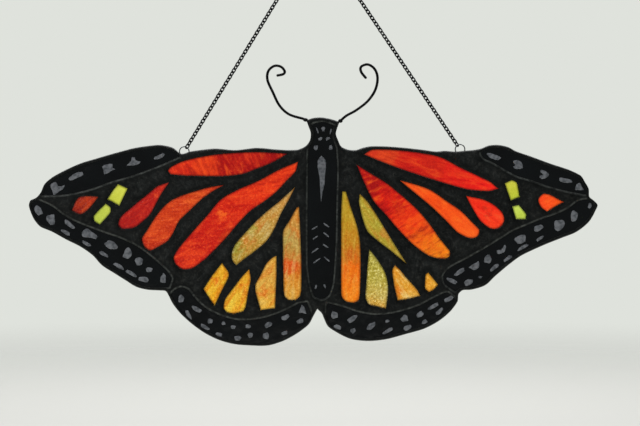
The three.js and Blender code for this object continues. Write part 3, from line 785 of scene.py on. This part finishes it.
# ---- painted spots ----

# Kiln-fired enamel, laid on with a brush: matt, and faintly mottled where it is thin. Its tones are partly
# its
# own pale colour and partly painted shade: they are set grey, darker than the enamel, for the shaded front.
enamelLook = {
    "grain": 2.083, "noise": {"Detail": 4.0}, "tones": [(0.35, "#65696f"), (0.6, "#9da0a6")],
    "relief": (0.3, 0.2), "surface": {"Roughness": 0.5},
}
dab = {"thick": 0.16, "sunk": 0.1, "around": 30, "rings": 6, "unsteady": 0.08, "square": 0.8}

# Each dab is x, z, length, width and tilt in degrees, or its outline's points, in mm from the body's middle.
dabs = {
    "left_forewing_top_border": [
        [(-181.5, 14), (-178, 15.5), (-176.5, 13), (-174.5, 12.5), (-172, 13.5), (-172.5, 11), (-175.5, 9),
         (-179.5, 6.5), (-181.5, 10)],
        (-164.5, 19.5, 11, 3.6, 25),
        [(-147, 25.5), (-142.5, 28), (-140, 27.5), (-140, 25), (-138, 24), (-142, 22), (-146, 20),
         (-146.5, 23)],
        [(-130.5, 26.5), (-128, 29.5), (-127, 32.5), (-125.5, 32.5), (-124.5, 30), (-120.5, 29.5),
         (-122.5, 27.5), (-128.5, 26)],
        (-108.5, 32.5, 8.4, 2.6, 25),
    ],
    "left_forewing_side_border": [
        [(-190.5, 0), (-188.5, -1.5), (-187, -6), (-189, -7.5), (-191.5, -5.5), (-193, -2.5)],
        [(-183.5, -6.5), (-179.5, -6.5), (-179, -13), (-182.5, -13), (-184.5, -10), (-184.5, -7.5)],
        (-169, -13, 9, 3, -40), (-171.5, -18.5, 7, 2.6, -30),
        [(-161, -17.5), (-156.5, -16), (-153.5, -18), (-150, -21), (-151.5, -23), (-156, -22),
         (-160.5, -21)],
        (-157.5, -26, 7, 2.4, -30),
        [(-146, -25.5), (-143.5, -24), (-139.5, -24.5), (-136, -28), (-138.5, -30), (-142.5, -29.5)],
        (-146, -33, 7, 2.4, -30),
        [(-130, -28.5), (-127, -30.5), (-128, -35), (-130, -36.5), (-133, -35), (-132, -30.5)],
        [(-123, -35), (-120, -36), (-119.5, -39), (-123.5, -41), (-125, -37.5), (-124.5, -35.5)],
        (-136, -41, 8, 2.6, -30), (-115.5, -43.5, 4.6, 3.4, 0), (-127.5, -46, 8.4, 2.6, -30),
        (-119, -50, 7.4, 3.6, -10),
        [(-106, -45.5), (-104.5, -47), (-104.5, -52), (-108, -52), (-107.5, -48)],
    ],
    "left_hindwing_border": [
        (-94, -63, 5.4, 4, 80), (-89, -74, 8.4, 2.6, -65), (-83.5, -70, 7.4, 3, -30),
        (-74.5, -78, 3.6, 3.4, 0), (-78, -82, 7, 2.6, -30), (-65.5, -79.5, 2.6, 2.4, 0),
        (-59, -82, 3.4, 2.6, 0), (-68.5, -87, 4.8, 2.6, -15),
        (-49, -81.5, 3.6, 2.8, 0), (-56, -89.5, 4.8, 3.4, 0), (-47.5, -87.5, 3.6, 3.6, 0),
        (-35.5, -80.5, 5.4, 3.4, 30), (-37, -88, 4.4, 4.4, 0), (-24, -75.5, 5.8, 3.2, 25),
        (-24.5, -86, 4.4, 2.6, 20), (-14, -78, 5, 3.2, 25),
        [(-13, -67), (-11, -68.5), (-10, -73), (-15, -72.5), (-14, -69)],
    ],
    "right_hindwing_border": [
        (9, -74, 5, 5, 0), (11, -82, 5.4, 3.2, -15), (21, -76.5, 7.6, 3.4, 35), (21.5, -84.5, 3.6, 3.4, 40),
        [(36.5, -78), (36.5, -80), (35, -83), (30.5, -84), (30.5, -82), (33, -79.5)],
        (44.5, -78, 3, 2, 10), (45, -84.5, 8.2, 2.4, 30),
        [(56, -73.5), (58, -74.5), (58.5, -77.5), (54.5, -78.5), (53.5, -76.5)],
        (58, -82.5, 5.8, 3.4, 25), (66.5, -73.5, 5, 3.6, 35), (69.5, -78.5, 4, 2.8, 30),
        (75.5, -68, 8.4, 2.6, 30), (79.5, -71.5, 6.6, 2.6, 45), (86, -63, 8, 3, 30),
    ],
    "right_forewing_side_border": [
        (88, -51, 8, 3, -25), (93, -45, 8.4, 3, 35), (99, -52, 6.4, 4, 25),
        [(105.5, -37.5), (106.5, -40.5), (105.5, -43), (101.5, -43.5), (99, -42)],
        (112, -36.5, 5.8, 5, 80), (107, -48.5, 2.6, 1.6, 0), (116.5, -42, 7.6, 2.6, 40),
        [(118, -30.5), (121, -30), (123.5, -26.5), (124.5, -27.5), (123, -31.5), (121, -33),
         (118.5, -32.5)],
        (125.5, -36, 7, 2.4, 35), (134, -23, 8, 5.8, 25), (135.5, -28.5, 8.4, 2.2, 30),
        (146, -15.5, 7, 4, 25),
        (147, -22.5, 6, 2, 35),
        [(157.5, -10.5), (163, -10), (163, -15.5), (158.5, -17.5), (156.5, -16)],
        (170, -7.5, 7.4, 4.8, 85), (180.5, -0.5, 4, 2.4, 80),
    ],
    "right_forewing_top_border": [
        (116, 32.5, 9.8, 3.4, -20),
        [(128.5, 29.5), (130.5, 30.5), (133.5, 29.5), (136, 27), (135.5, 25), (132, 24), (129, 24.5),
         (128.5, 25.5), (131, 26.5), (129.5, 28)],
        [(147, 24), (150, 23), (153.5, 20.5), (152, 18.5), (148, 17.5), (146, 18), (147, 19.5),
         (149.5, 20.5),
         (147, 22.5)],
        (164, 16.5, 9.4, 3, -10),
        [(173, 15), (174.5, 14), (176.5, 10), (171, 10), (171, 13)],
    ],
    "body": [
        (-2.5, 50, 4.4, 1, -70), (1.5, 51, 3.4, 2.4, 90), (6.5, 49.5, 4, 0.9, 75), (-0.5, 44.5, 3.2, 2, 30),
        (4.5, 44.5, 3.2, 2, 30), (-3.5, 38.5, 3.4, 2.8, 80), (6.5, 38.5, 3.4, 2.4, 90),
        [(0.5, 34), (3, 31), (3.5, 26), (2.5, 17), (1.5, 10), (0, 0.5), (-0.5, 10), (-1, 17), (-2.5, 26),
         (-1.5, 31)],
        (-4.5, -15.5, 4.8, 1, 30), (-4, -22, 4.2, 1, 35), (-4, -30.5, 5.6, 1, 35), (-3, -37.5, 6, 1, 35),
        (3.5, -13.5, 5, 1, -35), (3.5, -20, 5, 1, -40), (3, -27.5, 4.6, 1, -35), (4, -36.5, 5.2, 1, -40),
        (-3.5, -55, 3, 1.3, 70), (2.5, -54.5, 3, 1.3, -70),
    ],
}


def dabOutline(shape):
    # points round a dab: an ellipse squared off by a power of its sine and cosine, or a rounded line through
    # its own points
    around = np.arange(dab["around"]) / dab["around"]
    if isinstance(shape, list):
        knots = smoothLoop(np.array(shape, float), 0.4, cornerTurn=100)
        return knots[(around * len(knots)).astype(int)]
    x, z, length, width, tilt = shape
    turn = around * 2 * np.pi
    cosine, sine = np.cos(turn), np.sin(turn)
    local = np.stack([np.sign(cosine) * np.abs(cosine) ** dab["square"] * length / 2,
                      np.sign(sine) * np.abs(sine) ** dab["square"] * width / 2], 1)
    angle = np.radians(tilt)
    return local @ np.array([[np.cos(angle), np.sin(angle)], [-np.sin(angle), np.cos(angle)]]) + (x, z)


def addDab(shape):
    # a low dome on the glass: its height falls off with the fourth power of the way to the edge
    edge = dabOutline(shape)
    turn = np.arange(len(edge)) / len(edge) * 2 * np.pi
    phase = rng.uniform(0, 2 * np.pi, 2)
    unsteady = 1 + dab["unsteady"] * (np.sin(3 * turn + phase[0]) + 0.6 * np.sin(5 * turn + phase[1]))
    middle = edge.mean(0)
    share = np.linspace(0, 1, dab["rings"] + 1)[1:, None, None]
    flat = middle + (edge - middle) * unsteady[:, None] * share
    height = sheet["half"] + dab["thick"] * (1 - share[..., 0] ** 4) * np.ones(len(edge))
    height[-1] = sheet["half"] - dab["sunk"]
    rings = np.stack([flat[..., 0] + bodyCentre[0], -height, flat[..., 1] + bodyCentre[1]], 2)
    top = [middle[0] + bodyCentre[0], -sheet["half"] - dab["thick"], middle[1] + bodyCentre[1]]
    points = np.concatenate([rings.reshape(-1, 3), [top]])
    index = np.arange(flat.shape[0] * flat.shape[1]).reshape(flat.shape[:2])
    beside = np.roll(index, -1, 1)
    quads = np.stack([index[:-1], index[1:], beside[1:], beside[:-1]], 2).reshape(-1, 4)
    fan = np.stack([np.full(len(edge), len(points) - 1), index[0], beside[0]], 1)
    base = index[-1][::-1][None]
    area = np.cross(edge, np.roll(edge, -1, 0)).sum()
    faces = [quads, fan, base]
    return points, faces if area > 0 else [block[:, ::-1] for block in faces]


enamel = mottledFinish("fired_grey_enamel", enamelLook)
for glassName, shapes in dabs.items():
    makePiece(glassName + "_enamel", *joined([addDab(shape) for shape in shapes]), enamel, "black_glass")
print("enamel dabs:", sum(len(shapes) for shapes in dabs.values()))


# ---- antennae ----

# Blackened copper wire with a satin hand-rubbed surface, its curl turned round a peg.
antennaLook = {
    "grain": 2.0, "noise": {"Detail": 4.0}, "tones": [(0.45, "#070808"), (0.8, "#14181a")],
    "surface": {"Metallic": 0.7, "Roughness": 0.4},
}
antenna = {
    "wire": 1.8, "sides": 12, "steps": 9, "roundedEnd": 1.5,
    "left": [(-10.5, 57.3), (-12, 58), (-21.5, 61), (-28, 67), (-32.5, 76), (-36, 84), (-35.5, 90),
             (-31.5, 93.5), (-27, 93), (-24.5, 90), (-25.5, 88), (-30, 87)],
    "right": [(13, 56.6), (17, 60), (24, 64), (31.5, 70), (36.5, 77.5), (38, 85.5), (36, 91.5), (31.5, 94.5),
              (27, 93), (27, 89.5), (30.5, 85)],
}


def smoothPath(knots, steps):
    # a cubic through the knots of an open line, each slope the mean of its neighbours' chords
    knots = np.asarray(knots, float)
    slope = np.gradient(knots, axis=0)
    span = np.repeat(np.arange(len(knots) - 1), steps)
    u = (np.tile(np.arange(steps), len(knots) - 1) / steps)[:, None]
    curve = ((2 * u**3 - 3 * u**2 + 1) * knots[span] + (u**3 - 2 * u**2 + u) * slope[span]
             + (3 * u**2 - 2 * u**3) * knots[span + 1] + (u**3 - u**2) * slope[span + 1])
    return np.concatenate([curve, knots[-1:]])


copper = mottledFinish("blackened_copper_wire", antennaLook)
for side in ("left", "right"):
    path = lift(smoothPath(antenna[side], antenna["steps"]) + bodyCentre, 0.0)
    fromEnd = np.minimum(np.arange(len(path)), np.arange(len(path))[::-1])
    taper = np.clip((fromEnd + 0.3) / antenna["roundedEnd"], 0, 1)       # both ends close as quarter rounds
    radius = antenna["wire"] / 2 * np.sqrt(1 - (1 - taper) ** 2)
    points, faces = sweptWire(path, (0, 1.0, 0), radius, antenna["sides"], closed=False)
    makePiece(side + "_antenna_wire", points, faces, copper, "black_wire", [side + "_antenna"])
print("antennae made")


# ---- rings ----

# Tinned steel jump rings: drawn wire, cut and closed, with a dull bright surface.
ringLook = {
    "grain": 1.667, "noise": {"Detail": 5.0}, "tones": [(0.35, "#4a4e50"), (0.65, "#8b8f91")],
    "surface": {"Metallic": 1.0, "Roughness": 0.34},
}
ring = {"around": 72, "sides": 14}
drop = {"wing": (3.2, 1.5, 1.0), "wingBelow": 2.4, "foot": (1.6, 1.3, 1.3)}     # the solder's drops


def addRing(name, centre, radius, wire, node):
    # a wire round a circle that lies in the panel's plane
    turn = np.arange(ring["around"]) / ring["around"] * 2 * np.pi
    path = np.stack([np.cos(turn) * radius, 0 * turn, np.sin(turn) * radius], 1) + centre
    points, faces = sweptWire(path, (0, 1.0, 0), wire / 2, ring["sides"])
    makePiece(name, points, faces, tin, "ring_wire", [node])


tin = mottledFinish("tinned_steel_wire", ringLook)
drops = []
for side, place in chain["wingRings"].items():
    centre = onPanel(place)
    addRing(side + "_wing_eye", centre, chain["wingRingRadius"], chain["wingRingWire"], side + "_wing_ring")
    drops.append(roundBlob(centre - (0, 0, drop["wingBelow"]), drop["wing"], place[0]))
addRing("top_ring", np.zeros(3), chain["hangingRingRadius"], chain["hangingRingWire"], "hanging_ring")
for side in ("left", "right"):
    foot = antenna[side][0]
    drops.append(roundBlob(onPanel(foot), drop["foot"], foot[0]))
makePiece("solder_drops", *joined(drops), solder, "solder")
print("rings made")


# ---- room ----

# Metres. The world shows pale to the eye and white through the glass, and lights the front only a little.
room = {
    "floor": -0.42, "clear": 0.5, "gone": 2.2, "sides": 64, "paint": "#cacac5", "matt": 0.9,
    "wall": "#dfe2dc", "behind": "#ffffff", "front": "#e8eef2", "frontStrength": 0.15,
}
softboxes = {
    "window": {"place": (0, 0.9, 0.55), "aim": (0, 0.1, -0.3), "size": (1.6, 0.8), "power": 9},
    "ceiling": {"place": (0, 0.8, 1.7), "aim": (0, 0.8, 0), "size": (3.0, 3.0), "power": 50},
    "fill": {"place": (-0.9, -1.5, 0.5), "aim": (0, 0, -0.2), "size": (1.0, 1.0), "power": 3},
}


def addFloor():
    # a pale floor that fades into the pale room beyond it
    turn = np.arange(room["sides"]) / room["sides"] * 2 * np.pi
    edge = room["gone"] * 1.05
    points = np.stack([np.cos(turn) * edge, np.sin(turn) * edge, np.full(len(turn), room["floor"])], 1)
    mesh = bpy.data.meshes.new("floor")
    mesh.from_pydata(points.tolist(), [], [list(range(room["sides"]))])
    material, tree, shader, place = newMaterial("pale_floor")
    level = addNode(tree, "VectorMath", {0: place, 1: (1, 1, 0)}, operation="MULTIPLY")
    away = addNode(tree, "VectorMath", {0: level}, operation="LENGTH")
    fade = addNode(tree, "MapRange", {
        "Value": away, "From Min": room["clear"], "From Max": room["gone"], "To Min": 1.0, "To Max": 0.0},
        interpolation_type="SMOOTHSTEP")
    feed(tree, shader, {"Base Color": room["paint"], "Roughness": room["matt"], "Alpha": fade})
    mesh.materials.append(material)
    floor = bpy.data.objects.new("floor", mesh)
    bpy.context.scene.collection.objects.link(floor)


def addSoftbox(name, box):
    light = bpy.data.lights.new(name, "AREA")
    light.shape = "RECTANGLE"
    light.size, light.size_y = box["size"]
    light.energy = box["power"]
    lamp = bpy.data.objects.new(name, light)
    lamp.location = box["place"]
    way = np.array(box["aim"]) - box["place"]
    lamp.rotation_euler = (np.arctan2(np.hypot(way[0], way[1]), -way[2]), 0, np.arctan2(-way[0], way[1]))
    bpy.context.scene.collection.objects.link(lamp)


def lightRoom():
    # what is seen past and through the glass is pale, and the light that falls on the front is low
    scene = bpy.context.scene
    scene.world = bpy.data.worlds.new("room")
    scene.world.use_nodes = True
    tree = scene.world.node_tree
    seen = addNode(tree, "LightPath")
    wall = addNode(tree, "Background", {"Color": room["wall"]})
    behind = addNode(tree, "Background", {"Color": room["behind"]})
    front = addNode(tree, "Background", {"Color": room["front"], "Strength": room["frontStrength"]})
    through = addNode(tree, "MixShader", {0: seen.outputs["Is Transmission Ray"], 1: front, 2: behind})
    whole = addNode(tree, "MixShader", {0: seen.outputs["Is Camera Ray"], 1: through, 2: wall})
    feed(tree, tree.nodes["World Output"], {"Surface": whole})
    scene.view_settings.view_transform = "Standard"
    for name, box in softboxes.items():
        addSoftbox(name, box)


addFloor()
lightRoom()
print("room lit")
